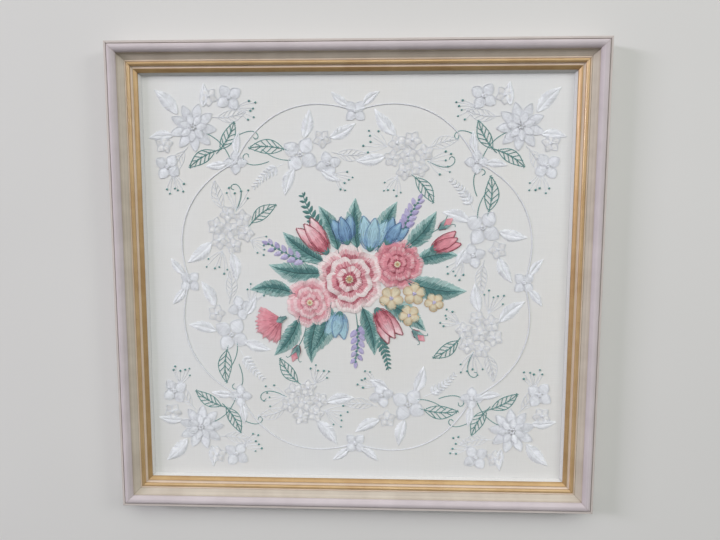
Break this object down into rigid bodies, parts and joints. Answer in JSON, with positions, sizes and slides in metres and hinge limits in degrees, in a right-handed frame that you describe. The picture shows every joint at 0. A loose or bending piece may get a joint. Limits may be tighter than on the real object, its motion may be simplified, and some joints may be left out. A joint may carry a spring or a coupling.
{
  "type": "framed embroidery: embroidery and frame",
  "caption": "Nearly square embroidery of flowers on cream cotton, stretched in a mitred, painted and gilded moulded frame.",
  "frame": {"origin": "middle of the frame's back, on the surface that it lies on", "axes": "+Z out of the picture's face, +Y towards the picture's top, +X to its right"},
  "size_m": [0.5, 0.484, 0.025],
  "materials": {
    "painted_moulding": "satin lavender and taupe paint with gilded members",
    "white_slip": "matt white",
    "embroidered_cotton": "plain woven cotton with thread stitching",
    "backing_board": "plain pressed board"
  },
  "bodies": {
    "root": {"rail_bottom": "painted_moulding", "rail_right": "painted_moulding", "rail_top": "painted_moulding", "rail_left": "painted_moulding", "slip_bottom": "white_slip", "slip_right": "white_slip", "slip_top": "white_slip", "slip_left": "white_slip", "embroidered_cloth": "embroidered_cotton", "backing_board": "backing_board"}
  },
  "joints": []
}
